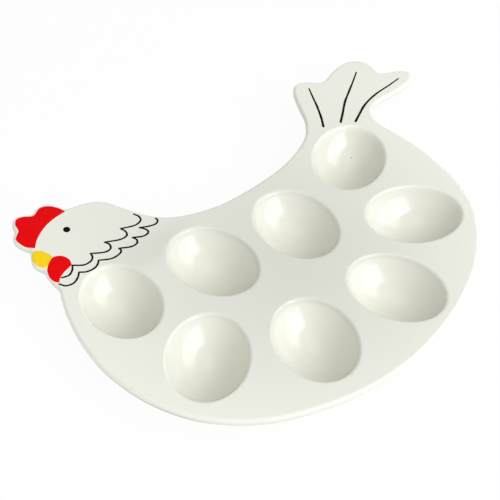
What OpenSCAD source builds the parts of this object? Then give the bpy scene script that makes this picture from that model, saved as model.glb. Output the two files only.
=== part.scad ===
// Deviled egg platter in the outline of a hen: one flat glazed deck with eight egg wells,
// with the comb, beak, wattle, eye, neck feathers and tail strokes fired on as coloured enamel.
// The hen stands upright in plan: +X runs from breast to tail, +Y from belly to comb, +Z is up.
// The origin is at the middle of the platter, on the surface that it stands on.

/* [Platter] */
// Length of the hen from its breast to the tip of its tail
platter_length = 302; // [260:1:350]
// Height of the hen in plan, from its belly to the top of its comb
platter_height = 228; // [205:1:260]
// Thickness of the deck
deck_thick = 5.2; // [4:0.1:7]
// Radius that is rounded onto the deck's upper and lower edges
edge_radius = 2; // [0.8:0.1:2.4]

/* [Egg wells] */
// Inside length of a well, below its rounded rim
well_length = 59; // [50:0.5:62]
// Inside width of a well, below its rounded rim
well_width = 46.6; // [38:0.2:49]
// Depth of a well below the deck's top
well_depth = 18.5; // [14:0.5:22]
// Height above the deck's top of the middle of the egg shape that hollows a well
egg_middle_height = 15.5; // [2:0.5:24]
// Wall under and around a well
well_wall = 4.5; // [3.5:0.1:6]
// Radius that is rounded onto a well's rim
rim_radius = 2.3; // [1:0.1:3]
// Width of the flat foot under each well
foot_width = 16; // [8:0.5:22]

/* [Enamel] */
// Thickness of the fired enamel on the deck
enamel_thick = 0.25; // [0.2:0.05:0.5]
// Length of the eye
eye_length = 4.2; // [3:0.1:6]
// Height of the eye
eye_height = 4.6; // [3:0.1:6]
// Widest width of the neck feather lines
feather_line_width = 1.2; // [0.8:0.1:2]
// Width of the neck feather lines where two scallops meet
feather_tip_width = 0.9; // [0.6:0.1:1.2]
// Width of a tail stroke at its lower end
stroke_base_width = 1.6; // [1:0.1:2.4]
// Width of a tail stroke at its upper tip
stroke_tip_width = 0.6; // [0.4:0.1:1.2]

/* [Hidden] */

// Overrun of a cutting shape past the face that it cuts
overrun = 1;
// Longest straight piece of the hen's outline
outline_step = 5;
// Straight pieces between two chosen points of a painted curve
curve_steps = 4;
// Straight pieces in a quarter of a round edge
edge_steps = 3;
// Straight pieces of a well's rounded rim
rim_steps = 3;
// Straight pieces of a stroke's round end
end_steps = 8;
// Facets round a well
well_facets = 64;
// How far the rim's section starts inside a well's wall, in shares of its half width
rim_bite_share = 0.004;

// Largest share of the deck's thickness that a rounded edge may take
edge_limit_share = 0.48;
edge_r = min(edge_radius, edge_limit_share * deck_thick);
deck_top = well_depth + well_wall;
deck_under = deck_top - deck_thick;

// The outline of the hen, clockwise from the notch behind the comb, in shares of the
// platter's length and height, measured from its middle

back_share = [[-0.325, 0.438], [-0.308, 0.433], [-0.281, 0.420], [-0.258, 0.396],
    [-0.242, 0.355], [-0.227, 0.314], [-0.209, 0.274], [-0.182, 0.239], [-0.139, 0.210],
    [-0.079, 0.189], [0.000, 0.184], [0.079, 0.192], [0.142, 0.216], [0.185, 0.248],
    [0.215, 0.296]];
left_tail_lobe_share = [[0.233, 0.349], [0.252, 0.399], [0.268, 0.422], [0.286, 0.425],
    [0.305, 0.410], [0.318, 0.391], [0.330, 0.384]];
middle_tail_lobe_share = [[0.344, 0.388], [0.374, 0.402], [0.407, 0.406], [0.430, 0.397],
    [0.447, 0.371], [0.450, 0.345], [0.446, 0.323], [0.446, 0.309]];
right_tail_lobe_share = [[0.455, 0.296], [0.477, 0.282], [0.495, 0.265], [0.500, 0.248],
    [0.493, 0.230], [0.470, 0.217], [0.430, 0.213], [0.384, 0.216], [0.356, 0.209],
    [0.338, 0.187], [0.330, 0.156], [0.333, 0.108]];
belly_share = [[0.340, 0.029], [0.339, -0.063], [0.327, -0.164], [0.295, -0.261],
    [0.235, -0.351], [0.152, -0.423], [0.053, -0.473], [-0.050, -0.498], [-0.149, -0.496],
    [-0.252, -0.465], [-0.348, -0.408], [-0.427, -0.316], [-0.477, -0.199],
    [-0.499, -0.072], [-0.497, 0.038], [-0.483, 0.130], [-0.467, 0.191]];
wattle_edge_share = [[-0.457, 0.222], [-0.458, 0.257], [-0.456, 0.283], [-0.455, 0.298]];
beak_edge_share = [[-0.462, 0.325], [-0.458, 0.349], [-0.448, 0.371], [-0.448, 0.383]];
comb_edge_share = [[-0.456, 0.408], [-0.458, 0.432], [-0.450, 0.449], [-0.442, 0.459],
    [-0.438, 0.480], [-0.426, 0.498], [-0.409, 0.496], [-0.391, 0.482], [-0.373, 0.493],
    [-0.353, 0.486], [-0.339, 0.463], [-0.331, 0.445]];
outline_share = concat(back_share, left_tail_lobe_share, middle_tail_lobe_share,
    right_tail_lobe_share, belly_share, wattle_edge_share, beak_edge_share,
    comb_edge_share);

// The egg wells, from the breast to the tail along the back and back along the belly:
// the middle of each in shares of the platter, the turn of its long axis from +X in
// degrees, and its size as a share of the wells' named length and width

well_middle_share = [[-0.384, 0.089], [-0.191, 0.046], [-0.004, 0.006], [0.207, 0.100],
    [0.195, -0.167], [0.034, -0.317], [-0.166, -0.307], [-0.341, -0.181]];
well_turn = [82, 99.4, 87.2, 38, 148.2, 109.7, 72.5, 46.1];
well_size_share = [0.95, 1, 1, 0.98, 1, 1, 1, 1];

// The painted figures, in the same shares as the outline

comb_outer_share = [[-0.335, 0.434], [-0.343, 0.459], [-0.355, 0.478], [-0.371, 0.485],
    [-0.391, 0.473], [-0.409, 0.487], [-0.422, 0.490], [-0.432, 0.476], [-0.436, 0.452],
    [-0.445, 0.441], [-0.453, 0.428], [-0.451, 0.404], [-0.446, 0.388], [-0.437, 0.374]];
comb_inner_share = [[-0.437, 0.374], [-0.421, 0.398], [-0.397, 0.419], [-0.368, 0.431],
    [-0.335, 0.434]];
beak_share = [[-0.442, 0.366], [-0.433, 0.358], [-0.426, 0.342], [-0.422, 0.320],
    [-0.432, 0.306], [-0.446, 0.300], [-0.454, 0.309], [-0.458, 0.325], [-0.457, 0.342],
    [-0.450, 0.357]];
wattle_outer_share = [[-0.405, 0.265], [-0.401, 0.285], [-0.407, 0.307], [-0.421, 0.317],
    [-0.435, 0.309], [-0.449, 0.290], [-0.455, 0.266], [-0.454, 0.248], [-0.449, 0.236]];
wattle_inner_share = [[-0.449, 0.236], [-0.440, 0.248], [-0.425, 0.258], [-0.405, 0.265]];
eye_share = [-0.361, 0.375];
upper_feather_shares = [
    [[-0.235, 0.307], [-0.231, 0.292], [-0.235, 0.277], [-0.252, 0.273], [-0.278, 0.287]],
    [[-0.278, 0.287], [-0.275, 0.270], [-0.280, 0.257], [-0.296, 0.257], [-0.323, 0.275]],
    [[-0.323, 0.275], [-0.319, 0.261], [-0.324, 0.247], [-0.338, 0.247], [-0.361, 0.266]],
    [[-0.361, 0.266], [-0.363, 0.254], [-0.371, 0.245], [-0.387, 0.245], [-0.405, 0.263]],
    [[-0.405, 0.263], [-0.412, 0.250], [-0.424, 0.241], [-0.438, 0.246]]];
lower_feather_shares = [
    [[-0.208, 0.258], [-0.209, 0.248], [-0.217, 0.242], [-0.230, 0.246], [-0.248, 0.258]],
    [[-0.248, 0.258], [-0.241, 0.243], [-0.242, 0.230], [-0.256, 0.228], [-0.274, 0.242]],
    [[-0.274, 0.242], [-0.271, 0.229], [-0.277, 0.218], [-0.291, 0.219], [-0.311, 0.234]],
    [[-0.311, 0.234], [-0.311, 0.224], [-0.320, 0.217], [-0.338, 0.218], [-0.359, 0.234]],
    [[-0.359, 0.234], [-0.367, 0.224], [-0.378, 0.219], [-0.393, 0.222], [-0.405, 0.233]],
    [[-0.405, 0.233], [-0.414, 0.221], [-0.428, 0.212], [-0.443, 0.217], [-0.450, 0.232]]];
left_stroke_share = [[0.229, 0.237], [0.245, 0.270], [0.262, 0.312], [0.275, 0.349],
    [0.288, 0.385]];
middle_stroke_share = [[0.267, 0.219], [0.290, 0.246], [0.318, 0.277], [0.351, 0.302],
    [0.381, 0.327], [0.407, 0.350]];
right_stroke_share = [[0.293, 0.194], [0.315, 0.209], [0.341, 0.226], [0.368, 0.237],
    [0.397, 0.243], [0.430, 0.245], [0.464, 0.249]];

// Colours as the photograph shows them
glaze_colour = [0.92, 0.92, 0.88];
red_colour = [0.90, 0.02, 0.05];
yellow_colour = [0.99, 0.83, 0.10];
black_colour = [0.06, 0.06, 0.06];

// A point of the smooth curve from b to c that comes from a and goes on to d
function curve_point(a, b, c, d, t) =
    (2 * b + (c - a) * t + (2 * a - 5 * b + 4 * c - d) * t * t
    + (3 * b - a - 3 * c + d) * t * t * t) / 2;

// A closed smooth curve through all points, in pieces no longer than step
function closed_curve(p, step) = [
    for (i = [0 : len(p) - 1])
        let (a = p[(i + len(p) - 1) % len(p)], b = p[i], c = p[(i + 1) % len(p)],
            d = p[(i + 2) % len(p)], n = max(2, ceil(norm(c - b) / step)))
        for (j = [0 : n - 1]) curve_point(a, b, c, d, j / n)];

// An open smooth curve from the first point to the last
function open_curve(p) =
    let (last = len(p) - 1, q = concat([2 * p[0] - p[1]], p, [2 * p[last] - p[last - 1]]))
    concat([for (i = [1 : last]) for (j = [0 : curve_steps - 1])
        curve_point(q[i - 1], q[i], q[i + 1], q[i + 2], j / curve_steps)], [p[last]]);

// Unit direction to the left of a curve at its point i, between its points i-1 and i+1
function left_of(a, b) = [a.y - b.y, b.x - a.x] / norm(b - a);

// A clockwise outline drawn in by a distance
function drawn_in(p, distance) = [for (i = [0 : len(p) - 1])
    p[i] - distance * left_of(p[(i + len(p) - 1) % len(p)], p[(i + 1) % len(p)])];

// The outline's raw form is stretched so that it fills the named length and height
raw_outline = closed_curve([for (s = outline_share)
    [s.x * platter_length, s.y * platter_height]], outline_step);
raw_low = [min([for (p = raw_outline) p.x]), min([for (p = raw_outline) p.y])];
raw_high = [max([for (p = raw_outline) p.x]), max([for (p = raw_outline) p.y])];
raw_middle = (raw_low + raw_high) / 2;
stretch = [platter_length / (raw_high.x - raw_low.x),
    platter_height / (raw_high.y - raw_low.y)];

function stretched(p) = [(p.x - raw_middle.x) * stretch.x, (p.y - raw_middle.y) * stretch.y];
function place(s) = stretched([s.x * platter_length, s.y * platter_height]);
function places(shares) = [for (s = shares) place(s)];

outline = [for (p = raw_outline) stretched(p)];
flat_outline = drawn_in(outline, edge_r);

// The rounded edge's section, from the deck's underside to its top: how far it is drawn
// in from the outline, and its height above the deck's underside
edge_section = concat(
    [for (i = [0 : edge_steps]) let (a = 90 * i / edge_steps)
        [edge_r * (1 - sin(a)), edge_r * (1 - cos(a))]],
    [for (i = [0 : edge_steps]) let (a = 90 * i / edge_steps)
        [edge_r * (1 - cos(a)), deck_thick - edge_r * (1 - sin(a))]]);

// A well's hollow is the lower part of an ellipsoid whose middle lies above the deck. Its
// section is given in shares of the well's half width at the deck's top, and in heights
// above the deck's top
egg_depth = well_depth + egg_middle_height;
function egg_share(height, depth) = sqrt(1 - pow((height - egg_middle_height) / depth, 2));
egg_widest_share = 1 / egg_share(0, egg_depth);

// The wall's slope at the deck's top, and how far the rim's round runs from the corner
// there, down the wall and out on the deck. The round is the curve (1-t)^2 a + 2t(1-t) b
// + t^2 c from a on the wall, where it starts a little inside the hollow, by the corner b,
// to c on the deck
mean_half_width = (well_length + well_width) / 4;
rim_slope = atan2(egg_depth * (1 - pow(egg_middle_height / egg_depth, 2)),
    egg_middle_height / egg_depth * mean_half_width);
rim_run = rim_radius * tan(rim_slope / 2);
rim_drop = rim_run * sin(rim_slope);
rim_start = [egg_share(-rim_drop, egg_depth) * egg_widest_share, -rim_drop];
rim_outer_share = 1 + rim_run / mean_half_width;
rim_curve = [for (i = [0 : rim_steps]) let (t = i / rim_steps)
    (1 - t) * (1 - t) * rim_start + 2 * t * (1 - t) * [1, 0] + t * t * [rim_outer_share, 0]
        - (i == 0 ? [rim_bite_share, 0] : [0, 0])];
rim_section = concat([[0, -rim_drop]], rim_curve, [[rim_outer_share, overrun], [0, overrun]]);

// A well's outside is a wider and longer ellipsoid with the same middle. Its depth makes it
// as wide as the wall asks at the deck's top, and as the foot asks at the standing surface
foot_share = foot_width / (well_width + 2 * well_wall);
outer_depth = sqrt((pow(deck_top + egg_middle_height, 2) - pow(foot_share * egg_middle_height, 2))
    / (1 - foot_share * foot_share));
outer_widest_share = 1 / egg_share(0, outer_depth);

// The deck's rounded edge, a ring swept round the outline
module rounded_edge() {
    count = len(outline);
    rings = len(edge_section);
    points = [for (e = edge_section) for (p = drawn_in(outline, e.x))
        [p.x, p.y, deck_under + e.y]];
    faces = [for (k = [0 : rings - 1]) for (i = [0 : count - 1])
        let (j = (i + 1) % count, m = (k + 1) % rings)
        [k * count + i, k * count + j, m * count + j, m * count + i]];
    polyhedron(points = points, faces = faces, convexity = 10);
}

// A shape of half length and half width 1, stretched to well i and its wall, at the deck's top
module at_well(i, wall) {
    size_share = well_size_share[i];
    middle = place(well_middle_share[i]);
    translate([middle.x, middle.y, deck_top])
        rotate([0, 0, well_turn[i]])
            scale([size_share * well_length / 2 + wall, size_share * well_width / 2 + wall, 1])
                children();
}

// An ellipsoid with its middle over the deck, by its widest share and its half height
module egg(widest_share, depth) {
    translate([0, 0, egg_middle_height])
        scale([widest_share, widest_share, depth]) sphere(r = 1, $fn = well_facets);
}

module well_outside(i) {
    intersection() {
        at_well(i, well_wall) egg(outer_widest_share, outer_depth);
        translate([-platter_length, -platter_height, 0])
            cube([2 * platter_length, 2 * platter_height, deck_top - deck_thick / 2]);
    }
}

module well_hollow(i) {
    at_well(i, 0) {
        egg(egg_widest_share, egg_depth);
        rotate_extrude($fn = well_facets) polygon(rim_section);
    }
}

module platter_body() {
    wells = [0 : len(well_turn) - 1];
    color(glaze_colour) {
        difference() {
            union() {
                translate([0, 0, deck_under]) linear_extrude(deck_thick) polygon(flat_outline);
                for (i = wells) well_outside(i);
            }
            for (i = wells) well_hollow(i);
        }
        rounded_edge();
    }
}

// A painted area, kept to the flat of the deck
module painted(colour) {
    color(colour) translate([0, 0, deck_top]) linear_extrude(enamel_thick) children();
}

module wattle_area() {
    polygon(concat(open_curve(places(wattle_outer_share)),
        open_curve(places(wattle_inner_share))));
}

module comb_enamel() {
    painted(red_colour) intersection() {
        polygon(flat_outline);
        polygon(concat(open_curve(places(comb_outer_share)),
            open_curve(places(comb_inner_share))));
    }
}

module beak_enamel() {
    painted(yellow_colour) difference() {
        intersection() {
            polygon(flat_outline);
            polygon(closed_curve(places(beak_share), outline_step));
        }
        wattle_area();
    }
}

module wattle_enamel() {
    painted(red_colour) intersection() {
        polygon(flat_outline);
        wattle_area();
    }
}

module eye_enamel() {
    eye = place(eye_share);
    painted(black_colour) translate(eye) scale([eye_length, eye_height]) circle(d = 1, $fn = 48);
}

// A brush stroke along a curve, with its width at the start, the middle and the end
module stroke(shares, start_width, middle_width, end_width) {
    path = open_curve(places(shares));
    last = len(path) - 1;
    side = [for (i = [0 : last]) left_of(path[max(i - 1, 0)], path[min(i + 1, last)])];
    half = [for (i = [0 : last]) let (t = i / last)
        (start_width * (1 - t) * (1 - t) + 2 * (2 * middle_width - (start_width + end_width) / 2)
            * t * (1 - t) + end_width * t * t) / 2];
    function along(i) = [side[i].y, -side[i].x];
    polygon(concat(
        [for (i = [0 : last]) path[i] + half[i] * side[i]],
        [for (j = [1 : end_steps - 1]) let (a = 180 * j / end_steps)
            path[last] + half[last] * (cos(a) * side[last] + sin(a) * along(last))],
        [for (i = [last : -1 : 0]) path[i] - half[i] * side[i]],
        [for (j = [1 : end_steps - 1]) let (a = 180 * j / end_steps)
            path[0] - half[0] * (cos(a) * side[0] + sin(a) * along(0))]));
}

module feather_line(scallops) {
    painted(black_colour) difference() {
        for (scallop = scallops)
            stroke(scallop, feather_tip_width, feather_line_width, feather_tip_width);
        wattle_area();
    }
}

module tail_stroke(shares) {
    painted(black_colour)
        stroke(shares, stroke_base_width, (stroke_base_width + stroke_tip_width) / 2,
            stroke_tip_width);
}

module upper_feather_line() { feather_line(upper_feather_shares); }
module lower_feather_line() { feather_line(lower_feather_shares); }
module left_tail_stroke() { tail_stroke(left_stroke_share); }
module middle_tail_stroke() { tail_stroke(middle_stroke_share); }
module right_tail_stroke() { tail_stroke(right_stroke_share); }

platter_body();
comb_enamel();
beak_enamel();
wattle_enamel();
eye_enamel();
upper_feather_line();
lower_feather_line();
left_tail_stroke();
middle_tail_stroke();
right_tail_stroke();
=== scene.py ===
"""Deviled egg platter in the outline of a hen, dressed as glazed ceramic.

Each piece is a surface worked out from a few named sizes. The hen stands upright in plan:
+X runs from breast to tail, +Y from belly to comb, +Z is up, and all lengths are metres.
"""

import math

import bpy
import numpy as np
from bpy.props import FloatProperty, FloatVectorProperty, PointerProperty
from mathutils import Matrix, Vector
from mathutils.geometry import delaunay_2d_cdt


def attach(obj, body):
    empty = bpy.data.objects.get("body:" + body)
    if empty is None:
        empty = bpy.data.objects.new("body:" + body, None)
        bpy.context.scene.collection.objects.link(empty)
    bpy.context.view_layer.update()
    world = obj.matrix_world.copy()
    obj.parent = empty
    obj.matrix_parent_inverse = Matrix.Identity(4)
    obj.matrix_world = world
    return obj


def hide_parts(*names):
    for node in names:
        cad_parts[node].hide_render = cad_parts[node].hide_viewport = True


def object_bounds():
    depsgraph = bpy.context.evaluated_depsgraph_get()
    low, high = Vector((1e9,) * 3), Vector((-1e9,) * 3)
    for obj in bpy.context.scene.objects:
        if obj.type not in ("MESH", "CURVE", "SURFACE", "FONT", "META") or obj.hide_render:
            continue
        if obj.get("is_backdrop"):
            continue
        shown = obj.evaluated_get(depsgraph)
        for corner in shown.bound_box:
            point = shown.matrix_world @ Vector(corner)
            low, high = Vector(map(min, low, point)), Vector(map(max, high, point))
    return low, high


bl_info = {
    "name": "Deviled egg platter",
    "version": (1, 0, 0),
    "blender": (4, 5, 0),
    "location": "View3D > Sidebar > Platter",
    "description": "Makes a hen shaped deviled egg platter of glazed ceramic with fired enamel",
    "category": "Add Mesh",
}

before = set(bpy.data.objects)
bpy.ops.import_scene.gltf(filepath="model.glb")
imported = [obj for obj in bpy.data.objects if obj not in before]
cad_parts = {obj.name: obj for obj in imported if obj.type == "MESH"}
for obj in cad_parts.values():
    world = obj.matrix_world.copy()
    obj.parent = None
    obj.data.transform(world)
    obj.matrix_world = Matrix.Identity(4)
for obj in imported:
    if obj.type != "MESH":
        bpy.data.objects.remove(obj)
CAD_LOW, CAD_HIGH = (np.array(corner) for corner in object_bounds())
CAD_SIZE = CAD_HIGH - CAD_LOW
MM = 0.001
ROOT = "root"

# The outline of the hen, clockwise from the notch behind the comb, in shares of the
# platter's length and height, measured from its middle
BACK = [[-0.325, 0.438], [-0.308, 0.433], [-0.281, 0.420], [-0.258, 0.396],
        [-0.242, 0.355], [-0.227, 0.314], [-0.209, 0.274], [-0.182, 0.239], [-0.139, 0.210],
        [-0.079, 0.189], [0.000, 0.184], [0.079, 0.192], [0.142, 0.216], [0.185, 0.248],
        [0.215, 0.296]]
LEFT_TAIL_LOBE = [[0.233, 0.349], [0.252, 0.399], [0.268, 0.422], [0.286, 0.425],
                  [0.305, 0.410], [0.318, 0.391], [0.330, 0.384]]
MIDDLE_TAIL_LOBE = [[0.344, 0.388], [0.374, 0.402], [0.407, 0.406], [0.430, 0.397],
                    [0.447, 0.371], [0.450, 0.345], [0.446, 0.323], [0.446, 0.309]]
RIGHT_TAIL_LOBE = [[0.455, 0.296], [0.477, 0.282], [0.495, 0.265], [0.500, 0.248],
                   [0.493, 0.230], [0.470, 0.217], [0.430, 0.213], [0.384, 0.216],
                   [0.356, 0.209], [0.338, 0.187], [0.330, 0.156], [0.333, 0.108]]
BELLY = [[0.340, 0.029], [0.339, -0.063], [0.327, -0.164], [0.295, -0.261],
         [0.235, -0.351], [0.152, -0.423], [0.053, -0.473], [-0.050, -0.498],
         [-0.149, -0.496], [-0.252, -0.465], [-0.348, -0.408], [-0.427, -0.316],
         [-0.477, -0.199], [-0.499, -0.072], [-0.497, 0.038], [-0.483, 0.130],
         [-0.467, 0.191]]
WATTLE_EDGE = [[-0.457, 0.222], [-0.458, 0.257], [-0.456, 0.283], [-0.455, 0.298]]
BEAK_EDGE = [[-0.462, 0.325], [-0.458, 0.349], [-0.448, 0.371], [-0.448, 0.383]]
COMB_EDGE = [[-0.456, 0.408], [-0.458, 0.432], [-0.450, 0.449], [-0.442, 0.459],
             [-0.438, 0.480], [-0.426, 0.498], [-0.409, 0.496], [-0.391, 0.482],
             [-0.373, 0.493], [-0.353, 0.486], [-0.339, 0.463], [-0.331, 0.445]]
OUTLINE = np.array(BACK + LEFT_TAIL_LOBE + MIDDLE_TAIL_LOBE + RIGHT_TAIL_LOBE + BELLY
                   + WATTLE_EDGE + BEAK_EDGE + COMB_EDGE)

# The egg wells, from the breast to the tail along the back and back along the belly: the
# middle of each in the same shares, the turn of its long axis from +X, and its size as a
# share of the wells' named length and width
WELL_MIDDLE = np.array([[-0.384, 0.089], [-0.191, 0.046], [-0.004, 0.006], [0.207, 0.100],
                        [0.195, -0.167], [0.034, -0.317], [-0.166, -0.307], [-0.341, -0.181]])
WELL_TURN = np.radians([82, 99.4, 87.2, 38, 148.2, 109.7, 72.5, 46.1])
WELL_SHARE = np.array([0.95, 1, 1, 0.98, 1, 1, 1, 1])
WELLS = range(len(WELL_TURN))

# The painted figures, in the same shares as the outline
COMB_OUTER = [[-0.335, 0.432], [-0.343, 0.459], [-0.355, 0.478], [-0.371, 0.485],
              [-0.391, 0.473], [-0.409, 0.487], [-0.422, 0.490], [-0.432, 0.476],
              [-0.436, 0.452], [-0.445, 0.441], [-0.453, 0.428], [-0.451, 0.404],
              [-0.446, 0.388], [-0.436, 0.373]]
COMB_INNER = [[-0.436, 0.373], [-0.4195, 0.3956], [-0.3958, 0.4157], [-0.3676, 0.428],
              [-0.335, 0.432]]
BEAK = [[-0.442, 0.366], [-0.433, 0.358], [-0.426, 0.342], [-0.422, 0.320],
        [-0.432, 0.306], [-0.446, 0.300], [-0.454, 0.309], [-0.458, 0.325],
        [-0.457, 0.342], [-0.450, 0.357]]
WATTLE_OUTER = [[-0.405, 0.265], [-0.401, 0.285], [-0.407, 0.307], [-0.421, 0.317],
                [-0.435, 0.309], [-0.449, 0.290], [-0.455, 0.266], [-0.454, 0.248],
                [-0.449, 0.236]]
WATTLE_INNER = [[-0.449, 0.236], [-0.440, 0.248], [-0.425, 0.258], [-0.405, 0.265]]
EYE_MIDDLE = [-0.361, 0.375]
UPPER_FEATHERS = [
    [[-0.235, 0.307], [-0.231, 0.292], [-0.235, 0.277], [-0.252, 0.273], [-0.278, 0.287]],
    [[-0.278, 0.287], [-0.275, 0.270], [-0.280, 0.257], [-0.296, 0.257], [-0.323, 0.275]],
    [[-0.323, 0.275], [-0.319, 0.261], [-0.324, 0.247], [-0.338, 0.247], [-0.361, 0.266]],
    [[-0.361, 0.266], [-0.363, 0.254], [-0.371, 0.245], [-0.387, 0.245], [-0.405, 0.263]],
    [[-0.405, 0.263], [-0.412, 0.250], [-0.424, 0.241], [-0.438, 0.246]]]
LOWER_FEATHERS = [
    [[-0.208, 0.258], [-0.209, 0.248], [-0.217, 0.242], [-0.230, 0.246], [-0.248, 0.258]],
    [[-0.248, 0.258], [-0.241, 0.243], [-0.242, 0.230], [-0.256, 0.228], [-0.274, 0.242]],
    [[-0.274, 0.242], [-0.271, 0.229], [-0.277, 0.218], [-0.291, 0.219], [-0.311, 0.234]],
    [[-0.311, 0.234], [-0.311, 0.224], [-0.320, 0.217], [-0.338, 0.218], [-0.359, 0.234]],
    [[-0.359, 0.234], [-0.367, 0.224], [-0.378, 0.219], [-0.393, 0.222], [-0.405, 0.233]],
    [[-0.405, 0.233], [-0.414, 0.221], [-0.428, 0.212], [-0.443, 0.217], [-0.450, 0.232]]]
TAIL_STROKES = {
    "left": [[0.229, 0.237], [0.245, 0.270], [0.262, 0.312], [0.275, 0.349], [0.288, 0.385]],
    "middle": [[0.267, 0.219], [0.2912, 0.2446], [0.3195, 0.2752], [0.351, 0.302],
               [0.381, 0.327], [0.407, 0.350]],
    "right": [[0.293, 0.194], [0.315, 0.209], [0.341, 0.226], [0.368, 0.237],
              [0.397, 0.243], [0.430, 0.245], [0.464, 0.249]]}

# How finely lines and surfaces are made: along the outline, a painted border and a stroke,
# and between the free points of the flat webs. Then how many points go round a well, its
# cup and the eye
OUTLINE_STEP, BORDER_STEP, STROKE_STEP, WEB_STEP = 1.0 * MM, 0.4 * MM, 0.5 * MM, 3.5 * MM
WELL_POINTS, CUP_POINTS, EYE_POINTS = 128, 96, 48
# How far free points keep from the edge and from the wells on top, and from the edge below
TOP_GAP, WELL_GAP, UNDER_GAP = 1.5 * MM, 2.5 * MM, 0.6 * MM
# Rows of points on both sides of an enamel's border, which shape its shoulder
SHOULDER_ROWS = np.array([-0.12, 0.12, -0.3, 0.3]) * MM
# The outline's ripples shorter than this are smoothed away
RIPPLE = 1.0 * MM
# The long waves of the fired deck: the millimetres along x and y in which each turns by a
# radian, and its start
SWAY_WAVES = ((31, 47, 0.4), (53, -29, 2.1), (83, 37, 4.0))


def length(name, default_mm, description):
    """A length that the panel shows, given in millimetres and kept in metres."""
    return FloatProperty(name=name, default=default_mm * MM, min=0, description=description,
                         subtype="DISTANCE", unit="LENGTH", precision=5)


def colour(name, default, description):
    """A linear colour that the panel shows."""
    return FloatVectorProperty(name=name, default=default, min=0, max=1, size=3,
                               subtype="COLOR", description=description)


class PlatterSizes(bpy.types.PropertyGroup):
    """The platter's sizes, as in the frame."""

    platter_length: length("Length", CAD_SIZE[0] / MM, "From the breast to the tip of the tail")
    platter_height: length("Height", CAD_SIZE[1] / MM, "From the belly to the top of the comb")
    deck_thick: length("Deck", 5.2, "Thickness of the deck")
    edge_radius: length("Edge radius", 2, "Radius on the deck's upper and lower edges")
    well_length: length("Well length", 59, "Inside length of a well, below its rim")
    well_width: length("Well width", 46.6, "Inside width of a well, below its rim")
    well_depth: length("Well depth", 18.5, "Depth of a well below the deck's top")
    egg_middle: length("Egg middle", 15.5, "Height over the deck of the middle of the egg "
                       "shape that hollows a well")
    well_wall: length("Well wall", 4.5, "Wall under and around a well")
    rim_radius: length("Rim radius", 2.3, "Radius that is rounded onto a well's rim")
    foot_width: length("Foot width", 16, "Width of the flat foot under each well")
    root_radius: length("Root radius", 3, "Fillet between a cup and the deck's underside")
    deck_sway: length("Deck sway", 0.12, "How far the fired deck sways from flat")


class EnamelSizes(bpy.types.PropertyGroup):
    """The sizes of the fired enamel."""

    thick: length("Thickness", 0.18, "Height of the enamel above the glaze")
    shoulder: length("Shoulder", 0.45, "Width over which the enamel's edge thins out")
    eye_length: length("Eye length", 4.2, "Length of the eye")
    eye_height: length("Eye height", 4.6, "Height of the eye")
    feather_width: length("Feather line", 1.25, "Widest width of a neck feather line")
    feather_tip: length("Feather tip", 1.15, "Width where two scallops meet")
    stroke_base: length("Stroke base", 1.6, "Width of a tail stroke at its lower end")
    stroke_middle: length("Stroke middle", 1.45, "Width of a tail stroke halfway along")
    stroke_tip: length("Stroke tip", 0.95, "Width of a tail stroke at its tip")


class PlatterColours(bpy.types.PropertyGroup):
    """The colours of the finishes, the floor and the background."""

    glaze: colour("Glaze", (0.765, 0.77, 0.685), "The off-white glaze")
    # painted shade: the darker, warmer glaze toward the bottom of the wells, where it also lies
    # thick
    pooled_and_shaded: colour("Pooled glaze", (0.745, 0.735, 0.645), "The glaze where it lies thick")
    clay: colour("Clay", (0.70, 0.62, 0.50), "The bare clay of the feet")
    comb: colour("Comb", (0.80, 0.0015, 0.003), "The red of the comb and the wattle")
    beak: colour("Beak", (0.96, 0.65, 0.010), "The yellow of the beak")
    line: colour("Lines", (0.002, 0.002, 0.002), "The black of the eye and the lines")
    floor: colour("Floor", (0.92, 0.92, 0.92), "The floor and the backdrop")
    lamp: colour("Lamps", (0.94, 0.97, 1.0), "The light of the softboxes")
    room: colour("Room", (1.0, 0.97, 0.94), "The light that the room gives back")


def spans(points, closed, steps=12):
    """The smooth curve through all points, steps pieces to a span. Between b and c, coming
    from a and going on to d, it is the cubic
    (2b + (c-a)t + (2a-5b+4c-d)t^2 + (3b-a-3c+d)t^3) / 2."""
    p = np.asarray(points, float)
    if closed:
        p = np.concatenate([p[-1:], p, p[:2]])
    else:
        p = np.concatenate([2 * p[:1] - p[1:2], p, 2 * p[-1:] - p[-2:-1]])
    a, b, c, d = p[:-3], p[1:-2], p[2:-1], p[3:]
    t = (np.arange(steps) / steps)[:, None, None]
    curve = (2 * b + (c - a) * t + (2 * a - 5 * b + 4 * c - d) * t ** 2
             + (3 * b - a - 3 * c + d) * t ** 3) / 2
    curve = curve.transpose(1, 0, 2).reshape(-1, 2)
    return curve if closed else np.concatenate([curve, c[-1:]])


def even(points, step, closed):
    """The same line with points an even step apart along its length."""
    p = np.concatenate([points, points[:1]]) if closed else points
    run = np.concatenate([[0], np.cumsum(np.hypot(*np.diff(p, axis=0).T))])
    count = max(2, round(run[-1] / step))
    at = np.linspace(0, run[-1], count + 1)[:count + (not closed)]
    return np.stack([np.interp(at, run, p[:, 0]), np.interp(at, run, p[:, 1])], -1)


def left_of(p, closed):
    """Unit directions to the left of a line at its points."""
    ahead = np.roll(p, -1, 0) - np.roll(p, 1, 0)
    if not closed:
        ahead[0], ahead[-1] = p[1] - p[0], p[-1] - p[-2]
    ahead /= np.linalg.norm(ahead, axis=1)[:, None]
    return np.stack([-ahead[:, 1], ahead[:, 0]], -1)


def faired(loop, width):
    """A closed loop with its ripples shorter than about width smoothed away: each Fourier
    term of x + iy is damped by a Gaussian of its frequency."""
    z = loop[:, 0] + 1j * loop[:, 1]
    run = np.abs(np.diff(np.append(z, z[0]))).sum()
    k = np.fft.fftfreq(len(z), 1 / len(z)) * 2 * np.pi / run
    z = np.fft.ifft(np.fft.fft(z) * np.exp(-0.5 * (k * width) ** 2))
    return np.stack([z.real, z.imag], -1)


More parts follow.
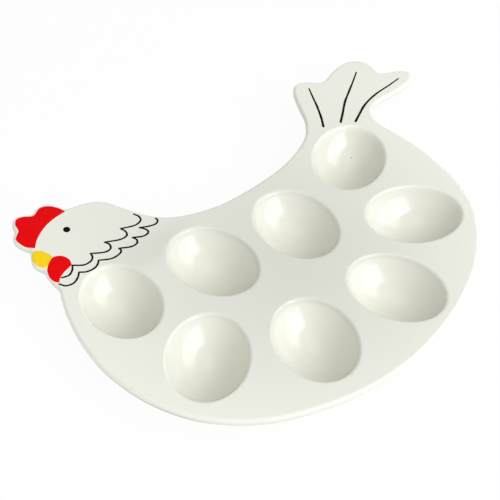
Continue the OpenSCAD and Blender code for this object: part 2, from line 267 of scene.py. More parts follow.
def inside(points, loop):
    """Which points lie inside a closed loop, by the count of edges that a ray crosses. A
    level edge is never crossed, so its rise may be any number but 0."""
    x, y = points[:, 0, None], points[:, 1, None]
    x0, y0 = loop.T
    x1, y1 = np.roll(loop, -1, 0).T
    rise = np.where(y1 == y0, 1, y1 - y0)
    hit = ((y0 > y) != (y1 > y)) & (x < (x1 - x0) * (y - y0) / rise + x0)
    return hit.sum(1) % 2 == 1


def distance(points, starts, ends, at_once=2000):
    """The distance of each point from the nearest of the straight pieces, for about at_once
    points together so that the arrays stay small. A piece may have no length."""
    along = ends - starts
    square = np.maximum((along ** 2).sum(1), 1e-18)
    best = np.full(len(points), np.inf)
    for block in np.array_split(np.arange(len(points)), max(1, len(points) // at_once)):
        off = points[block, None] - starts
        t = np.clip((off * along).sum(2) / square, 0, 1)
        best[block] = np.linalg.norm(off - t[..., None] * along, axis=2).min(1)
    return best


def from_loop(points, loop):
    """The distance of each point from a closed loop."""
    return distance(points, loop, np.roll(loop, -1, 0))


def lattice(low, high, step):
    """A lattice of even triangles: every other row of points is moved by half a step."""
    rows = np.arange(low[1], high[1], step * math.sqrt(0.75))
    cols = np.arange(low[0], high[0], step)
    x, y = np.meshgrid(cols, rows)
    x[1::2] += step / 2
    return np.stack([x.ravel(), y.ravel()], -1)


def numbered(loops):
    """The point numbers of each loop when the loops are put one after another."""
    ends = np.cumsum([len(loop) for loop in loops])
    return np.split(np.arange(ends[-1]), ends[:-1])


def triangles(points, loops):
    """Delaunay triangles over flat points that keep the edges of the closed loops, each
    given as an array of point numbers. Returns the points, which grow where loops cross,
    the triangles, and the number that each point had. It works in millimetres."""
    scale = 1 / MM
    edges = np.concatenate([np.stack([loop, np.roll(loop, -1)], -1) for loop in loops])
    flat = [Vector(p) for p in (points * scale).tolist()]
    out, _, faces, origin = delaunay_2d_cdt(flat, edges.tolist(), [], 0, 1e-7)[:4]
    number = np.array([o[0] if o else -1 for o in origin])
    return np.array([tuple(v) for v in out]) / scale, np.array(faces), number


def quads(first, second):
    """Faces between two closed rings of point numbers."""
    return np.stack([first, np.roll(first, -1), np.roll(second, -1), second], -1)


class Shell:
    """A surface that is put together from patches: its points, its faces, and how many
    points it has so far."""

    def __init__(self):
        self.points, self.faces, self.count = [], [], 0

    def add(self, points):
        """Adds a patch's points, and returns their numbers in the same rows."""
        self.points.append(points.reshape(-1, 3))
        first, self.count = self.count, self.count + len(self.points[-1])
        return np.arange(first, self.count).reshape(points.shape[:-1])

    def skin(self, rings):
        """Adds the faces between closed rings of point numbers that follow each other."""
        self.faces += [quads(ring, after) for ring, after in zip(rings, rings[1:])]

    def fill(self, borders, spots, heights, keep, flip=False):
        """Adds free points at heights, and Delaunay triangles through them between the
        borders. Of the triangles stay those whose middles keep says yes to."""
        fixed = np.concatenate(borders)
        known = np.concatenate(self.points)[fixed, :2]
        flat, tris, origin = triangles(np.concatenate([known, spots]), numbered(borders))
        tris = tris[keep(flat[tris].mean(1))]
        number = np.concatenate([fixed, self.add(np.column_stack([spots, heights]))])
        faces = number[origin[tris]]
        self.faces.append(faces[:, ::-1] if flip else faces)


def make_object(name, points, faces, slot):
    """A smooth mesh object from points and a list of face arrays, riding on the platter."""
    mesh = bpy.data.meshes.new(name)
    mesh.from_pydata(np.asarray(points, float).tolist(), [],
                     [f for block in faces for f in block.tolist()])
    mesh.validate()
    mesh.polygons.foreach_set("use_smooth", np.ones(len(mesh.polygons), bool))
    mesh.update()
    piece = bpy.data.objects.new(name, mesh)
    bpy.context.scene.collection.objects.link(piece)
    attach(piece, ROOT)
    return piece


class Plan:
    """The platter in plan: its outline, and where a share or a painted line lands."""

    def __init__(self, sizes):
        self.size = np.array([sizes.platter_length, sizes.platter_height])
        raw = faired(even(spans(OUTLINE * self.size, True), OUTLINE_STEP, True), RIPPLE)
        low, high = raw.min(0), raw.max(0)
        self.middle, self.stretch = (low + high) / 2, self.size / (high - low)
        self.outline = (raw - self.middle) * self.stretch
        self.outward = left_of(self.outline, True)
        self.sizes = sizes
        self.deck = sizes.well_depth + sizes.well_wall

    def place(self, shares):
        """Where shares of the platter land in plan."""
        return (np.asarray(shares) * self.size - self.middle) * self.stretch

    def sway(self, xy):
        """How far the deck lies below its highest level: long waves, from 0 to 1 of the
        named sway."""
        x, y = xy[..., 0] / MM, xy[..., 1] / MM
        waves = sum(np.sin(x / a + y / b + c) for a, b, c in SWAY_WAVES)
        return self.sizes.deck_sway * (0.5 - waves / (2 * len(SWAY_WAVES)))

    def top(self, xy):
        """The height of the deck's top, with the round of its edge: within a radius of the
        outline it falls by r - sqrt(r^2 - (r-d)^2)."""
        r = self.sizes.edge_radius
        short = np.clip(r - from_loop(xy, self.outline), 0, r)
        return self.deck - self.sway(xy) - (r - np.sqrt(r * r - short ** 2))


def edge_profile(sizes, steps=9, flat=0.35 * MM):
    """The edge's section from the top to the underside, as how far it is drawn in and its
    height below the deck's top: two quarter circles with a short flat at either end."""
    r, t = sizes.edge_radius, sizes.deck_thick
    a = np.linspace(math.pi / 2, 0, steps)
    upper = np.stack([r * (1 - np.cos(a)), -r * (1 - np.sin(a))], -1)
    side = np.array([[0, -t / 2]])
    lower = np.stack([upper[::-1, 0], -t - upper[::-1, 1]], -1)
    return np.concatenate([[[r + flat, 0]], upper, side, lower, [[r + flat, -t]]])


def egg_wall(sizes, height, depth):
    """How wide an egg shape is at a height over the deck's top, as a share of its width
    there: an ellipse with its middle over the deck."""
    m = sizes.egg_middle
    return np.sqrt(1 - ((height - m) / depth) ** 2) / math.sqrt(1 - (m / depth) ** 2)


def rim_run(sizes):
    """How far the rim's round runs from the corner, and the wall's slope at the corner."""
    s = sizes
    depth = s.well_depth + s.egg_middle
    e = s.egg_middle / depth
    slope = math.atan2(depth * (1 - e * e), e * (s.well_length + s.well_width) / 4)
    return s.rim_radius * math.tan(slope / 2), slope


def well_profile(sizes, rim_steps=9, bowl_steps=26, flat=0.3 * MM):
    """A well's section from the deck to just short of its middle, as a share of the half
    width and a height below the deck's top: a flat, the curve (1-t)^2 a + 2t(1-t) b + t^2 c
    from a on the wall by the corner b to c on the deck, and the lower part of an ellipse."""
    s = sizes
    half = (s.well_length + s.well_width) / 4
    depth = s.well_depth + s.egg_middle
    run, slope = rim_run(s)
    drop = run * math.sin(slope)
    t = np.linspace(1, 0, rim_steps)[:, None]
    start, end = np.array([egg_wall(s, -drop, depth), -drop]), np.array([1 + run / half, 0])
    rim = (1 - t) ** 2 * start + 2 * t * (1 - t) * np.array([1, 0]) + t ** 2 * end
    b = np.linspace(math.asin((s.egg_middle + drop) / depth), math.pi / 2, bowl_steps + 1)
    height = s.egg_middle - depth * np.sin(b[1:-1])
    bowl = np.stack([egg_wall(s, height, depth), height], -1)
    return np.concatenate([[end + [flat / half, 0]], rim, bowl])


def cup_profile(sizes, wall_steps=40, fillet_steps=9, foot_steps=6):
    """The outside of a well as a share of its half width and a height above the standing
    surface, from the foot to the deck's underside: a flat foot, an ellipse with the same
    middle as the well's, and the fillet of a ball that touches it and the underside."""
    s = sizes
    half = (s.well_length + s.well_width) / 4 + s.well_wall
    top = s.well_depth + s.well_wall
    under = top - s.deck_thick
    foot = s.foot_width / (s.well_width + 2 * s.well_wall)
    middle = top + s.egg_middle
    deep = math.sqrt((middle ** 2 - (foot * s.egg_middle) ** 2) / (1 - foot ** 2))
    wide = half / math.sqrt(1 - (s.egg_middle / deep) ** 2)
    phi = np.linspace(math.asin(middle / deep), math.asin(s.egg_middle / deep), wall_steps)
    wall = np.stack([wide * np.cos(phi), middle - deep * np.sin(phi)], -1)
    normal = np.stack([deep * np.cos(phi), -wide * np.sin(phi)], -1)
    normal /= np.linalg.norm(normal, axis=1)[:, None]
    ball = wall + s.root_radius * normal
    step = np.arange(wall_steps)
    touch = np.interp(under - s.root_radius, ball[:, 1], step)
    centre = np.array([np.interp(touch, step, ball[:, 0]), under - s.root_radius])
    contact = np.array([np.interp(touch, step, wall[:, k]) for k in (0, 1)])
    start = math.atan2(*(contact - centre)[::-1])
    turn = np.linspace(start, math.pi / 2, fillet_steps)
    fillet = centre + s.root_radius * np.stack([np.cos(turn), np.sin(turn)], -1)
    share = np.linspace(0, foot, foot_steps + 1)[:-1]
    base = np.stack([share * half, np.zeros_like(share)], -1)
    full = np.concatenate([base, wall[:int(touch)], fillet])
    return full / [half, 1]


def well_axes(plan, i, wall):
    """Half the length and half the width of well i with a wall round it, and the cosine and
    the sine of its turn."""
    s = plan.sizes
    long, wide = (WELL_SHARE[i] * size / 2 + wall for size in (s.well_length, s.well_width))
    return long, wide, math.cos(WELL_TURN[i]), math.sin(WELL_TURN[i])


def well_share(plan, xy, i, wall):
    """How far out points lie from the middle of well i, as a share of its half width."""
    off = xy - plan.place(WELL_MIDDLE[i])
    long, wide, c, n = well_axes(plan, i, wall)
    return np.hypot((off[:, 0] * c + off[:, 1] * n) / long,
                    (off[:, 1] * c - off[:, 0] * n) / wide)


def clear_of_wells(plan, xy, wall, share):
    """Which points lie further out than a share of the half width of every well."""
    return np.all([well_share(plan, xy, i, wall) > share for i in WELLS], axis=0)


def well_ring(plan, i, wall, share, count):
    """Points round well i at a share of its half width: an ellipse turned to the well."""
    u = np.arange(count) * 2 * math.pi / count
    long, wide, c, n = well_axes(plan, i, wall)
    x, y = long * np.cos(u), wide * np.sin(u)
    ring = np.stack([x * c - y * n, x * n + y * c], -1)
    return plan.place(WELL_MIDDLE[i]) + np.multiply.outer(share, ring)


def cup_height(plan, xy, i, cup):
    """The height of the outside of well i at each point, from the section of its cup."""
    return np.interp(well_share(plan, xy, i, plan.sizes.well_wall), *cup.T)


def under_height(plan, xy, cup, blend=1.5 * MM):
    """The height of the underside: the lowest of the cups at each point, blended where two
    cups meet by (k - |a-b|)^2 / 4k below the lower one, and not to the flat underside."""
    under = plan.deck - plan.sizes.deck_thick
    height = np.full(len(xy), under)
    for i in WELLS:
        mine = cup_height(plan, xy, i, cup)
        near = np.maximum(blend - np.abs(height - mine), 0)
        flat = np.maximum(height, mine) >= under - 1e-9
        height = np.minimum(height, mine) - np.where(flat, 0, near ** 2 / (4 * blend))
    return np.maximum(height, 0)


def under_spots(plan, cup):
    """Free points of the underside: a lattice on the flat, from a little beyond the cups'
    fillets, and rings round each cup as far as it is clearly the lowest."""
    wall = plan.sizes.well_wall
    flat = lattice(-plan.size / 2, plan.size / 2, WEB_STEP)
    spots = [flat[clear_of_wells(plan, flat, wall, cup[-1, 0] + 0.03)]]
    for i in WELLS:
        ring = well_ring(plan, i, wall, cup[1:, 0], CUP_POINTS)
        ring = np.concatenate([ring.reshape(-1, 2), plan.place(WELL_MIDDLE[i:i + 1])])
        other = np.min([cup_height(plan, ring, j, cup) for j in WELLS if j != i], axis=0)
        spots.append(ring[cup_height(plan, ring, i, cup) < other - 0.2 * MM])
    return np.concatenate(spots)


def platter_surface(plan):
    """The whole ceramic body as one closed surface: the edge's section carried round the
    outline, eight wells as a section carried round an ellipse, and webs between them."""
    s, shell = plan.sizes, Shell()
    section = edge_profile(s)
    rings = plan.outline - section[:, 0, None, None] * plan.outward
    share = np.clip(1 + section[:, 1] / s.deck_thick, 0, 1)[:, None]
    heights = plan.deck + section[:, 1, None] - plan.sway(rings) * share
    edge = shell.add(np.dstack([rings, heights]))
    shell.skin(edge)
    # the wells, each closed by a fan round its middle
    profile = well_profile(s)
    rims = []
    for i in WELLS:
        xy = well_ring(plan, i, 0, profile[:, 0], WELL_POINTS)
        well = shell.add(np.dstack([xy, plan.deck + profile[:, 1, None] - plan.sway(xy)]))
        shell.skin(well)
        middle = plan.place(WELL_MIDDLE[i])
        low = shell.add(np.array([*middle, plan.deck - s.well_depth - plan.sway(middle)]))
        shell.faces.append(np.stack([well[-1], np.roll(well[-1], -1),
                                     np.full(WELL_POINTS, low)], -1))
        rims.append(well[0])
    # the web on top
    loop = rings[0]
    spots = lattice(-plan.size / 2, plan.size / 2, WEB_STEP)
    spots = spots[inside(spots, loop) & (from_loop(spots, loop) > TOP_GAP)
                  & clear_of_wells(plan, spots, WELL_GAP, 1)]
    rim = profile[0, 0] * math.cos(math.pi / WELL_POINTS)
    shell.fill([edge[0], *rims], spots, plan.deck - plan.sway(spots),
               lambda xy: inside(xy, loop) & clear_of_wells(plan, xy, 0, rim))
    # the underside
    cup = cup_profile(s)
    under = rings[-1]
    spots = under_spots(plan, cup)
    spots = spots[inside(spots, under) & (from_loop(spots, under) > UNDER_GAP)]
    shell.fill([edge[-1]], spots, under_height(plan, spots, cup),
               lambda xy: inside(xy, under), flip=True)
    return np.concatenate(shell.points), shell.faces


def stroke_loop(path, widths, end_steps=9):
    """The outline of a brush stroke: the path moved half a width to either side, with a
    half circle round each end."""
    side, half = left_of(path, False), widths[:, None] / 2
    along = np.stack([side[:, 1], -side[:, 0]], -1)
    a = np.linspace(0, math.pi, end_steps)[1:-1, None]
    end = path[-1] + half[-1] * (np.cos(a) * side[-1] + np.sin(a) * along[-1])
    start = path[0] - half[0] * (np.cos(a) * side[0] + np.sin(a) * along[0])
    return np.concatenate([path + half * side, end, (path - half * side)[::-1], start])


def enamel_surface(plan, sizes, loops, cut=None, step=0.5 * MM):
    """A closed layer of enamel over the union of the loops, less the cut. Its height over
    the glaze rises with the distance d from its border as a quarter of an ellipse,
    thick * sqrt(1 - (1 - d/shoulder)^2), and its underside dips alike, from 0.3 to 0.5 of
    the thickness into the glaze."""
    lines = loops if cut is None else [*loops, cut]

    def painted(xy):
        """Which points lie in a loop and not in the cut."""
        within = np.any([inside(xy, p) for p in loops], axis=0)
        return within if cut is None else within & ~inside(xy, cut)

    # free points: a lattice that keeps off the lines, and rows along each line that keep
    # off the other lines
    starts = np.concatenate(lines)
    ends = np.concatenate([np.roll(p, -1, 0) for p in lines])
    spots = lattice(starts.min(0), starts.max(0), step)
    spots = spots[distance(spots, starts, ends) > 0.8 * step]
    rows = np.concatenate([p + d * left_of(p, True) for p in lines for d in SHOULDER_ROWS])
    rows = rows[distance(rows, starts, ends) > 0.1 * MM]
    spots = np.concatenate([spots, rows])
    spots = spots[painted(spots)]
    flat, tris, _ = triangles(np.concatenate([starts, spots]), numbered(lines))
    tris = tris[painted(flat[tris].mean(1))]
    used, tris = np.unique(tris, return_inverse=True)
    flat, tris = flat[used], tris.reshape(-1, 3)
    # the border is made of the edges that only one triangle has
    edges = np.concatenate([tris[:, [0, 1]], tris[:, [1, 2]], tris[:, [2, 0]]])
    _, first, seen = np.unique(np.sort(edges, axis=1), axis=0, return_index=True,
                               return_counts=True)
    border = edges[first[seen == 1]]
    d = distance(flat, flat[border[:, 0]], flat[border[:, 1]])
    rise = np.sqrt(1 - (1 - np.clip(d / sizes.shoulder, 0, 1)) ** 2)
    base = plan.top(flat)
    upper = np.column_stack([flat, base + sizes.thick * rise])
    lower = np.column_stack([flat, base - sizes.thick * (0.3 + 0.2 * rise)])
    below = len(flat)
    wall = np.column_stack([border[:, ::-1], border + below])
    return np.concatenate([upper, lower]), [tris, tris[:, ::-1] + below, wall]


# Finishes

# Places on the photographed platter, in millimetres from its middle: the middle of the
# painted shade and light over the deck, the painted shade below the neck feathers, the
# painted shade low on the edge along the breast, where the glaze ran thin too, and the
# speck in the well at the tail
DECK_SHADE_MIDDLE, NECK_SHADE, EDGE_SHADE, SPECK = (-20, -27), (-82, 42), (-150, -20), (74.5, 32.0)
# The colours of the painted shade on the breast's edge and of the speck
EDGE_SHADE_TONE, SPECK_TONE = (0.34, 0.28, 0.18), (0.12, 0.09, 0.06)
# The enamels where the brush left them thin
THIN_RED, THIN_YELLOW, THIN_BLACK = (0.84, 0.004, 0.008), (0.97, 0.70, 0.03), (0.006,) * 3
GLASS_IOR = 1.5
WHITE = (1, 1, 1, 1)


class Value:
    """A number, colour or vector in a material. Arithmetic on numbers adds Math nodes."""

    def __init__(self, finish, socket):
        self.finish, self.socket = finish, socket

    def _math(self, operation, *values):
        return self.finish.node("ShaderNodeMath", {"operation": operation},
                                dict(enumerate(values)))

    def __add__(self, other):
        return self._math("ADD", self, other)

    def __sub__(self, other):
        return self._math("SUBTRACT", self, other)

    def __mul__(self, other):
        return self._math("MULTIPLY", self, other)

    def __truediv__(self, other):
        return self._math("DIVIDE", self, other)

    def __rsub__(self, other):
        return self._math("SUBTRACT", other, self)

    def __rtruediv__(self, other):
        return self._math("DIVIDE", other, self)

    def __pow__(self, other):
        return self._math("POWER", self, other)

    __radd__, __rmul__ = __add__, __mul__


class Finish:
    """The nodes of a material or of the world: one shader, and the nodes that vary it."""

    def __init__(self, data, output="ShaderNodeOutputMaterial"):
        self.data, self.output = data, output
        data.use_nodes = True
        self.tree = data.node_tree
        self.tree.nodes.clear()
        self.place = self.node("ShaderNodeTexCoord", out="Object")

    def node(self, kind, settings=(), inputs=(), out=0):
        """Adds a node of a kind, sets it up, then fills its sockets with values or links."""
        made = self.tree.nodes.new(kind)
        for key, value in dict(settings).items():
            setattr(made, key, value)
        for key, value in dict(inputs).items():
            if isinstance(value, Value):
                self.tree.links.new(value.socket, made.inputs[key])
            else:
                made.inputs[key].default_value = value
        return Value(self, made.outputs[out])

    def noise(self, size, detail=2.0, place=None):
        """Noise from 0 to 1 whose blotches are about size across."""
        return self.node("ShaderNodeTexNoise", {},
                         {"Vector": place or self.place, "Scale": 1 / size, "Detail": detail})

    def ramp(self, value, low, high, to_low=0.0, to_high=1.0):
        """A smooth step of a number from low to high."""
        return self.node("ShaderNodeMapRange", {"interpolation_type": "SMOOTHSTEP"},
                         {"Value": value, "From Min": low, "From Max": high,
                          "To Min": to_low, "To Max": to_high})

    def mix(self, factor, first, second):
        """The first colour where factor is 0, the second where it is 1. The Mix node's
        colours are its inputs 6 and 7 and its output 2."""
        tones = {6: first, 7: second}
        tones = {k: v if isinstance(v, Value) else (*v, 1) for k, v in tones.items()}
        return self.node("ShaderNodeMix", {"data_type": "RGBA"}, {0: factor, **tones}, 2)

    def bump(self, height, tall, normal=None):
        """A normal tilted by a height from 0 to 1 that stands for tall metres, on top of
        another normal if there is one."""
        under = {} if normal is None else {"Normal": normal}
        return self.node("ShaderNodeBump", {}, {"Height": height, "Distance": tall, **under})

    def seen(self):
        """1 for the rays that show a thing: straight, in a reflection and through glass."""
        shown, *rays = (self.node("ShaderNodeLightPath", out=f"Is {kind} Ray")
                        for kind in ("Camera", "Glossy", "Transmission"))
        for ray in rays:
            shown = self.node("ShaderNodeMath", {"operation": "MAXIMUM"}, {0: shown, 1: ray})
        return shown

    def shade(self, **inputs):
        """The surface shader, by the names of its sockets."""
        named = {k.replace("_", " "): v for k, v in inputs.items()}
        return self.finish(self.node("ShaderNodeBsdfPrincipled", {}, named))

    def finish(self, shader):
        """Links a shader to the output, and returns the finished material or world."""
        output = self.tree.nodes.new(self.output)
        self.tree.links.new(shader.socket, output.inputs["Surface"])
        return self.data


def glaze_finish(tones, sizes):
    """Off-white glaze over clay: painted shade toward the bottom of the wells, where the glaze
    also lies thick, painted light and shade over the deck, painted shade low on the edge
    along the breast, long soft waves, a fine peel, and bare clay where the feet were wiped
    to stand on the kiln shelf."""
    f = Finish(bpy.data.materials.new("white_glaze"))
    x, y, z = (f.node("ShaderNodeSeparateXYZ", {}, {0: f.place}, axis) for axis in "XYZ")

    def away(spot, reach=(1, 1)):
        """How far a point lies from a spot in plan: in millimetres, or in reaches of so
        many millimetres along x and along y."""
        return (((x / MM - spot[0]) / reach[0]) ** 2
                + ((y / MM - spot[1]) / reach[1]) ** 2) ** 0.5

    mottle = f.noise(38 * MM, 3)
    # painted shade: the glaze darker and warmer toward the bottom of the wells, where it also
    # lies thick
    pooled_and_shaded = f.ramp(z, sizes.well_wall + 1 * MM, sizes.well_wall + sizes.well_depth, 1, 0)
    tone = f.mix(pooled_and_shaded * 0.5 + mottle * 0.3, tuple(tones.glaze), tuple(tones.pooled_and_shaded))
    # painted light and shade: the deck is painted darker in its middle and lighter toward the
    # comb and the tail, and darker below the neck feathers
    painted_light_and_shade = (f.ramp(away(DECK_SHADE_MIDDLE), 0, 170, -0.12, 0.12)
             - f.ramp(away(NECK_SHADE, (34, 14)), 0.3, 1.2, 0.09, 0))
    deck = f.ramp(z, 19 * MM, 22 * MM)
    tone = f.node("ShaderNodeVectorMath", {"operation": "SCALE"},
                  {"Vector": tone, "Scale": painted_light_and_shade * deck + 1})
    # painted shade: darker and warmer low on the deck's edge along the breast, where it faces
    # down and the glaze ran thin too
    up = f.node("ShaderNodeSeparateXYZ", {},
                {0: f.node("ShaderNodeNewGeometry", out="Normal")}, "Z")
    breast_edge_shade = f.ramp(away(EDGE_SHADE), 40, 66, 0.8, 0) * f.ramp(up, -0.15, 0.08, 1, 0)
    breast_edge_shade = breast_edge_shade * f.ramp(z, 17.9 * MM, 18.3 * MM)
    tone = f.mix(breast_edge_shade, tone, EDGE_SHADE_TONE)
    # the feet are wiped to the clay, whose grains are up to a seventh darker
    grain = f.noise(0.5 * MM, 3)
    bare = f.ramp(z + (f.noise(4 * MM) - 0.5) * (0.3 * MM), 0.15 * MM, 0.35 * MM, 1, 0)
    clay = f.mix(grain, tuple(0.85 * c for c in tones.clay), tuple(tones.clay))
    tone = f.mix(bare, tone, clay)
    # the speck is a pit in the glaze
    speck = f.ramp(away(SPECK), 0.22, 0.4, 1, 0) * f.ramp(z, 4 * MM, 5 * MM)
    tone = f.mix(speck, tone, SPECK_TONE)
    wave = f.bump(f.noise(24 * MM, 1), 0.16 * MM)
    peel = f.bump(f.noise(2.2 * MM, 2), 0.006 * MM, wave)
    sand = f.bump(grain * bare - speck * 3, 0.05 * MM, peel)
    rough = f.ramp(bare, 0, 1, 0.08, 0.85) + (mottle - 0.5) * 0.03
    return f.shade(Base_Color=tone, Roughness=rough, Normal=sand, IOR=GLASS_IOR)


def enamel_finish(name, tone, thin):
    """Fired enamel: a strong colour that thins to a lighter one in brush marks, which are
    four times as long as wide."""
    f = Finish(bpy.data.materials.new(name))
    along = f.node("ShaderNodeMapping", {}, {"Vector": f.place, "Scale": (1, 4, 1),
                                             "Rotation": (0, 0, 0.6)})
    brushed = f.noise(5 * MM, 3, along)
    fired = f.mix(f.ramp(brushed, 0.35, 0.8), tuple(tone), thin)
    dimple = f.bump(f.noise(1.6 * MM, 2), 0.01 * MM)
    return f.shade(Base_Color=fired, Roughness=0.18 + brushed * 0.1, Normal=dimple,
                   IOR=GLASS_IOR, Specular_IOR_Level=0.04)


class PLATTER_OT_body(bpy.types.Operator):
    """Make the glazed ceramic body"""

    bl_idname = "platter.body"
    bl_label = "Ceramic body"

    def execute(self, context):
        scene = context.scene
        plan = Plan(scene.platter_sizes)
        body = make_object("glazed_platter", *platter_surface(plan), "white_glaze")
        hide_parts("platter_body")
        body.data.materials.append(glaze_finish(scene.platter_colours, scene.platter_sizes))
        return {"FINISHED"}


def paint(context, name, node, slot, finish, loops, cut=None):
    """One painted piece in the place of its node."""
    plan = Plan(context.scene.platter_sizes)
    layer = enamel_surface(plan, context.scene.enamel_sizes, loops, cut)
    piece = make_object(name, *layer, slot)
    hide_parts(node)
    piece.data.materials.append(finish)
    return piece


def painted_loop(plan, *parts):
    """The closed border of a painted area from open smooth curves that meet."""
    border = np.concatenate([spans(plan.place(p), False)[:-1] for p in parts])
    return even(border, BORDER_STEP, True)


def tapered(plan, shares, start, middle, end):
    """A stroke's border: its width runs through three values as a parabola, with the
    slight unevenness of a brush, in waves that begin differently on each stroke."""
    path = even(spans(plan.place(shares), False), STROKE_STEP, False)
    t = np.linspace(0, 1, len(path))
    bend = 2 * middle - (start + end) / 2
    width = start * (1 - t) ** 2 + 2 * bend * t * (1 - t) + end * t ** 2
    width *= 1 + 0.07 * np.sin(23 * t + 300 * path[0, 0]) * np.sin(np.pi * t)
    return stroke_loop(path, width)


class PLATTER_OT_comb(bpy.types.Operator):
    """Paint the comb and the wattle"""

    bl_idname = "platter.comb"
    bl_label = "Comb and wattle"

    def execute(self, context):
        plan = Plan(context.scene.platter_sizes)
        red = enamel_finish("red_enamel", context.scene.platter_colours.comb, THIN_RED)
        paint(context, "painted_comb", "comb_enamel", "red_enamel", red,
              [painted_loop(plan, COMB_OUTER, COMB_INNER)])
        paint(context, "painted_wattle", "wattle_enamel", "red_enamel", red,
              [painted_loop(plan, WATTLE_OUTER, WATTLE_INNER)])
        return {"FINISHED"}


class PLATTER_OT_beak(bpy.types.Operator):
    """Paint the beak"""

    bl_idname = "platter.beak"
    bl_label = "Beak"

    def execute(self, context):
        plan = Plan(context.scene.platter_sizes)
        yellow = enamel_finish("yellow_enamel", context.scene.platter_colours.beak,
                               THIN_YELLOW)
        loop = even(spans(plan.place(BEAK), True), BORDER_STEP, True)
        paint(context, "painted_beak", "beak_enamel", "yellow_enamel", yellow, [loop],
              painted_loop(plan, WATTLE_OUTER, WATTLE_INNER))
        return {"FINISHED"}


class PLATTER_OT_lines(bpy.types.Operator):
    """Paint the eye, the neck feathers and the tail strokes"""

    bl_idname = "platter.lines"
    bl_label = "Eye, feathers and tail strokes"

    def execute(self, context):
        scene = context.scene
        plan, e = Plan(scene.platter_sizes), scene.enamel_sizes
        black = enamel_finish("black_enamel", scene.platter_colours.line, THIN_BLACK)
        u = np.linspace(0, 2 * math.pi, EYE_POINTS, endpoint=False)
        eye = plan.place(EYE_MIDDLE) + np.stack([np.cos(u) * e.eye_length / 2,
                                                 np.sin(u) * e.eye_height / 2], -1)
        paint(context, "painted_eye", "eye_enamel", "black_enamel", black, [eye])
        wattle = painted_loop(plan, WATTLE_OUTER, WATTLE_INNER)
        for side, line in (("upper", UPPER_FEATHERS), ("lower", LOWER_FEATHERS)):
            loops = [tapered(plan, scallop, e.feather_tip, e.feather_width, e.feather_tip)
                     for scallop in line]
            paint(context, f"painted_{side}_feathers", f"{side}_feather_line",
                  "black_enamel", black, loops, wattle)
        for side, stroke in TAIL_STROKES.items():
            loop = tapered(plan, stroke, e.stroke_base, e.stroke_middle, e.stroke_tip)
            paint(context, f"painted_{side}_stroke", f"{side}_tail_stroke",
                  "black_enamel", black, [loop])
        return {"FINISHED"}


# The stage

# The camera, fitted to the photograph: how far its right is turned from +X and how far it
# looks down, in degrees; its distance from its aim in metres, and that aim; and its focal
# length in pixels of an image so many pixels wide. Then its sensor in millimetres, and how
# near and how far it sees in metres
CAMERA_TURN, CAMERA_LIFT, CAMERA_AWAY = 40, 48.53, 0.67688
CAMERA_AIM = Vector((-35.76, 3.03, 23)) * MM
FOCAL_PIXELS, IMAGE_PIXELS = 1154.85, 500
SENSOR_WIDTH, NEAR, FAR = 36, 0.01, 20

# The softboxes: how far round from the camera's right toward its far side and how far up
# each stands, in degrees; its distance and its size in metres; its power in watts; and
# whether the glaze mirrors it
SOFTBOXES = {
    "key_softbox": (-45, 35, 1.3, 0.9, 8.4, True),
    "key_core": (-39.2, 40.8, 0.9, 0.2, 0.5, True),
    "right_softbox": (0, 35, 1.3, 0.9, 5.5, True),
    "top_softbox": (0, 90, 1.3, 0.9, 2.0, True),
    "fill_softbox": (-135, 20, 0.45, 0.35, 0.3, False),
}
SOFTBOX_AIM = Vector((0, 0, 0.02))

# The floor's half width in metres, how much of what it shows is plain white, with its shadow
# in the rest, and the strength of the light that the room gives back
FLOOR_HALF, FLOOR_WHITE, ROOM_STRENGTH = 3.0, 0.95, 0.447


def stand(name, data, aim, around, up, away):
    """A lamp or camera that stands away from its aim, at an angle round from the camera's
    right and an angle up, both in degrees, and faces it."""
    turn, lift = math.radians(around - CAMERA_TURN), math.radians(up)
    way = Vector((math.cos(turn) * math.cos(lift), math.sin(turn) * math.cos(lift),
                  math.sin(lift)))
    made = bpy.data.objects.new(name, data)
    made.location = aim + away * way
    made.rotation_euler = way.to_track_quat("Z", "Y").to_euler()
    bpy.context.scene.collection.objects.link(made)
    return made


def softbox(name, around, up, away, size, power, mirrored, tone):
    """A square softbox that faces the platter."""
    lamp = bpy.data.lights.new(name, "AREA")
    lamp.shape, lamp.size, lamp.energy, lamp.color = "SQUARE", size, power, tone
    stand(name, lamp, SOFTBOX_AIM, around, up, away).visible_glossy = mirrored


def paper_floor(tone):
    """A flat square floor of pale paper that shows mostly white, and the shadow."""
    h = FLOOR_HALF
    mesh = bpy.data.meshes.new("floor")
    mesh.from_pydata([(-h, -h, 0), (h, -h, 0), (h, h, 0), (-h, h, 0)], [], [(0, 1, 2, 3)])
    floor = bpy.data.objects.new("floor", mesh)
    bpy.context.scene.collection.objects.link(floor)
    floor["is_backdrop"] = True
    f = Finish(bpy.data.materials.new("floor_paper"))
    lit = f.node("ShaderNodeBsdfDiffuse", {}, {"Color": (*tone, 1)})
    white = f.node("ShaderNodeEmission", {}, {"Color": WHITE, "Strength": 1.0})
    shown = f.node("ShaderNodeMixShader", {}, {0: f.seen() * FLOOR_WHITE, 1: lit, 2: white})
    mesh.materials.append(f.finish(shown))


def room_light(tone):
    """The light that the room gives back, white where the room itself is seen."""
    f = Finish(bpy.data.worlds.new("studio"), "ShaderNodeOutputWorld")
    glow = f.node("ShaderNodeBackground", {}, {"Color": (*tone, 1),
                                               "Strength": ROOM_STRENGTH})
    white = f.node("ShaderNodeBackground", {}, {"Color": WHITE, "Strength": 1.0})
    return f.finish(f.node("ShaderNodeMixShader", {}, {0: f.seen(), 1: glow, 2: white}))


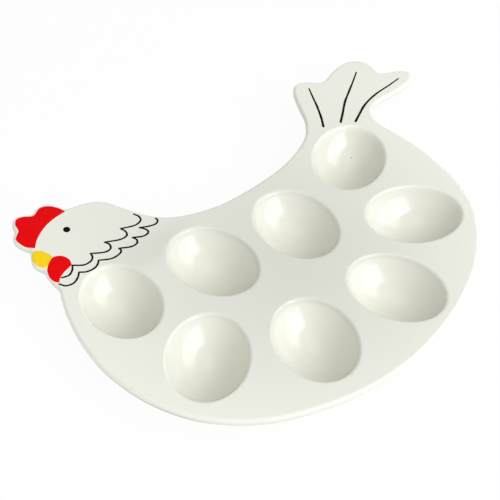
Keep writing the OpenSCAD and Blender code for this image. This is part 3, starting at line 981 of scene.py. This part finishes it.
class PLATTER_OT_stage(bpy.types.Operator):
    """Set the floor, the light of the room, the camera and the softboxes"""

    bl_idname = "platter.stage"
    bl_label = "Stage"

    def execute(self, context):
        scene = context.scene
        tones = scene.platter_colours
        paper_floor(tones.floor)
        scene.world = room_light(tones.room)
        lens = bpy.data.cameras.new("camera")
        lens.sensor_width = SENSOR_WIDTH
        lens.lens = SENSOR_WIDTH * FOCAL_PIXELS / IMAGE_PIXELS
        lens.clip_start, lens.clip_end = NEAR, FAR
        scene.camera = stand("camera", lens, CAMERA_AIM, -90, CAMERA_LIFT, CAMERA_AWAY)
        for name, settings in SOFTBOXES.items():
            softbox(name, *settings, tuple(tones.lamp))
        scene.view_settings.view_transform = "Standard"
        return {"FINISHED"}


class PLATTER_PT_panel(bpy.types.Panel):
    """Lists the platter's pieces, sizes and colours"""

    bl_label = "Deviled egg platter"
    bl_idname = "PLATTER_PT_panel"
    bl_space_type = "VIEW_3D"
    bl_region_type = "UI"
    bl_category = "Platter"

    def draw(self, context):
        layout = self.layout
        for group in (context.scene.platter_sizes, context.scene.enamel_sizes,
                      context.scene.platter_colours):
            box = layout.box()
            for key in group.__annotations__:
                box.prop(group, key)
        for operator in OPERATORS:
            layout.operator(operator.bl_idname)


OPERATORS = (PLATTER_OT_body, PLATTER_OT_comb, PLATTER_OT_beak, PLATTER_OT_lines,
             PLATTER_OT_stage)
GROUPS = {"platter_sizes": PlatterSizes, "enamel_sizes": EnamelSizes,
          "platter_colours": PlatterColours}


def register():
    for kind in (*GROUPS.values(), *OPERATORS, PLATTER_PT_panel):
        bpy.utils.register_class(kind)
    for name, kind in GROUPS.items():
        setattr(bpy.types.Scene, name, PointerProperty(type=kind))


def unregister():
    for name in GROUPS:
        delattr(bpy.types.Scene, name)
    for kind in (PLATTER_PT_panel, *OPERATORS, *GROUPS.values()):
        bpy.utils.unregister_class(kind)


def main():
    register()
    for operator in (bpy.ops.platter.body, bpy.ops.platter.comb, bpy.ops.platter.beak,
                     bpy.ops.platter.lines, bpy.ops.platter.stage):
        operator()


if __name__ == "__main__":
    main()
